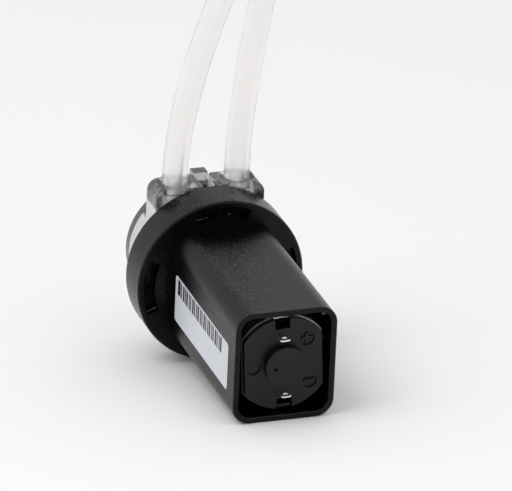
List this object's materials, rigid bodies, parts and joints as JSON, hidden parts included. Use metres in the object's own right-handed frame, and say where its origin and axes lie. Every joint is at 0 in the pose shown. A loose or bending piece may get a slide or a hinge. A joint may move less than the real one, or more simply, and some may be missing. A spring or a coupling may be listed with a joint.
{
  "type": "peristaltic pump head with gear motor",
  "caption": "Small peristaltic pump: black motor housing with a bayonet cup, clear head with two ports and a pump tube, roller rotor and planetary gear motor inside.",
  "frame": {"origin": "on the pump axis, at the rear face of the housing's round cup, which seats against a panel", "axes": "+Y along the pump axis from the motor to the head, +Z towards the two tubes, +X to the right seen from the motor"},
  "size_m": [0.0432, 0.0767, 0.0942],
  "materials": {
    "black_plastic": "satin, fine spark-eroded grain",
    "motor_cap_plastic": "matt",
    "clear_plastic": "clear, glossy, faintly smoky",
    "smoky_plastic": "smoky clear, glossy",
    "tube": "milky translucent, smooth",
    "steel": "bright drawn steel",
    "zinc_can": "zinc plated",
    "tinned": "tinned copper alloy",
    "bronze": "sintered bronze",
    "copper": "enamelled copper",
    "ferrite": "matt sintered",
    "lamination": "stacked, varnished",
    "carbon": "pressed graphite",
    "white_plastic": "natural acetal",
    "grey_plastic": "matt moulded"
  },
  "bodies": {
    "root": {"housing": "black_plastic", "motor_can": "zinc_can", "motor_front_bearing": "bronze", "motor_end_cap": "motor_cap_plastic", "motor_rear_bearing": "bronze", "upper_magnet": "ferrite", "lower_magnet": "ferrite", "motor_terminals": "tinned", "carbon_brushes": "carbon", "gearbox_end_plate": "steel", "ring_gear": "grey_plastic", "gearbox_screws": "steel", "motor_screws": "steel", "output_bush": "bronze"},
    "motor_rotor": {"motor_shaft": "steel", "armature_core": "lamination", "armature_windings": "copper", "commutator": "copper", "sun_gear": "bronze"},
    "first_stage": {"first_carrier": "grey_plastic", "first_carrier_pins": "steel"},
    "rotor": {"second_carrier": "grey_plastic", "second_carrier_pins": "steel", "output_shaft": "steel", "rotor_hub": "white_plastic", "rotor_front_plate": "white_plastic", "roller_pins": "steel", "shaft_clip": "steel"},
    "head": {"head_body": "clear_plastic", "front_cover": "smoky_plastic", "cover_screws": "steel", "left_tube_stop": "clear_plastic", "right_tube_stop": "clear_plastic", "pump_tube_loop": "tube", "left_tube": "tube", "right_tube": "tube"},
    "planet_1a": {"planet_1a": "white_plastic"},
    "planet_1b": {"planet_1b": "white_plastic"},
    "planet_1c": {"planet_1c": "white_plastic"},
    "planet_2a": {"planet_2a": "white_plastic"},
    "planet_2b": {"planet_2b": "white_plastic"},
    "planet_2c": {"planet_2c": "white_plastic"},
    "roller_a": {"roller_a": "white_plastic"},
    "roller_b": {"roller_b": "white_plastic"},
    "roller_c": {"roller_c": "white_plastic"}
  },
  "joints": [
    {"name": "rotor_spin", "type": "hinge", "parent": "root", "child": "rotor", "pos_m": [0, 0, 0], "axis": [0, 1, 0], "continuous": true},
    {"name": "motor_spin", "type": "hinge", "parent": "root", "child": "motor_rotor", "pos_m": [0, 0, 0], "axis": [0, 1, 0], "continuous": true},
    {"name": "first_stage_spin", "type": "hinge", "parent": "root", "child": "first_stage", "pos_m": [0, 0, 0], "axis": [0, 1, 0], "continuous": true},
    {"name": "planet_1a_spin", "type": "hinge", "parent": "first_stage", "child": "planet_1a", "pos_m": [0.006, 0, 0], "axis": [0, 1, 0], "continuous": true},
    {"name": "planet_1b_spin", "type": "hinge", "parent": "first_stage", "child": "planet_1b", "pos_m": [-0.003, 0, 0.0052], "axis": [0, 1, 0], "continuous": true},
    {"name": "planet_1c_spin", "type": "hinge", "parent": "first_stage", "child": "planet_1c", "pos_m": [-0.003, 0, -0.0052], "axis": [0, 1, 0], "continuous": true},
    {"name": "planet_2a_spin", "type": "hinge", "parent": "rotor", "child": "planet_2a", "pos_m": [0.006, 0, 0], "axis": [0, 1, 0], "continuous": true},
    {"name": "planet_2b_spin", "type": "hinge", "parent": "rotor", "child": "planet_2b", "pos_m": [-0.003, 0, 0.0052], "axis": [0, 1, 0], "continuous": true},
    {"name": "planet_2c_spin", "type": "hinge", "parent": "rotor", "child": "planet_2c", "pos_m": [-0.003, 0, -0.0052], "axis": [0, 1, 0], "continuous": true},
    {"name": "roller_a_spin", "type": "hinge", "parent": "rotor", "child": "roller_a", "pos_m": [0, 0, 0.00575], "axis": [0, 1, 0], "continuous": true},
    {"name": "roller_b_spin", "type": "hinge", "parent": "rotor", "child": "roller_b", "pos_m": [-0.00498, 0, -0.00287], "axis": [0, 1, 0], "continuous": true},
    {"name": "roller_c_spin", "type": "hinge", "parent": "rotor", "child": "roller_c", "pos_m": [0.00498, 0, -0.00287], "axis": [0, 1, 0], "continuous": true},
    {"name": "head_twist", "type": "hinge", "parent": "root", "child": "head", "pos_m": [0, 0, 0], "axis": [0, 1, 0], "range_deg": [0, 45]}
  ],
  "couplings": [
    {"joint": "motor_spin", "follows": "rotor_spin", "ratio": 25},
    {"joint": "first_stage_spin", "follows": "rotor_spin", "ratio": 5},
    {"joint": "planet_1a_spin", "follows": "rotor_spin", "ratio": -13.333},
    {"joint": "planet_1b_spin", "follows": "rotor_spin", "ratio": -13.333},
    {"joint": "planet_1c_spin", "follows": "rotor_spin", "ratio": -13.333},
    {"joint": "planet_2a_spin", "follows": "rotor_spin", "ratio": -2.6667},
    {"joint": "planet_2b_spin", "follows": "rotor_spin", "ratio": -2.6667},
    {"joint": "planet_2c_spin", "follows": "rotor_spin", "ratio": -2.6667},
    {"joint": "roller_a_spin", "follows": "rotor_spin", "ratio": -2.9167},
    {"joint": "roller_b_spin", "follows": "rotor_spin", "ratio": -2.9167},
    {"joint": "roller_c_spin", "follows": "rotor_spin", "ratio": -2.9167}
  ]
}
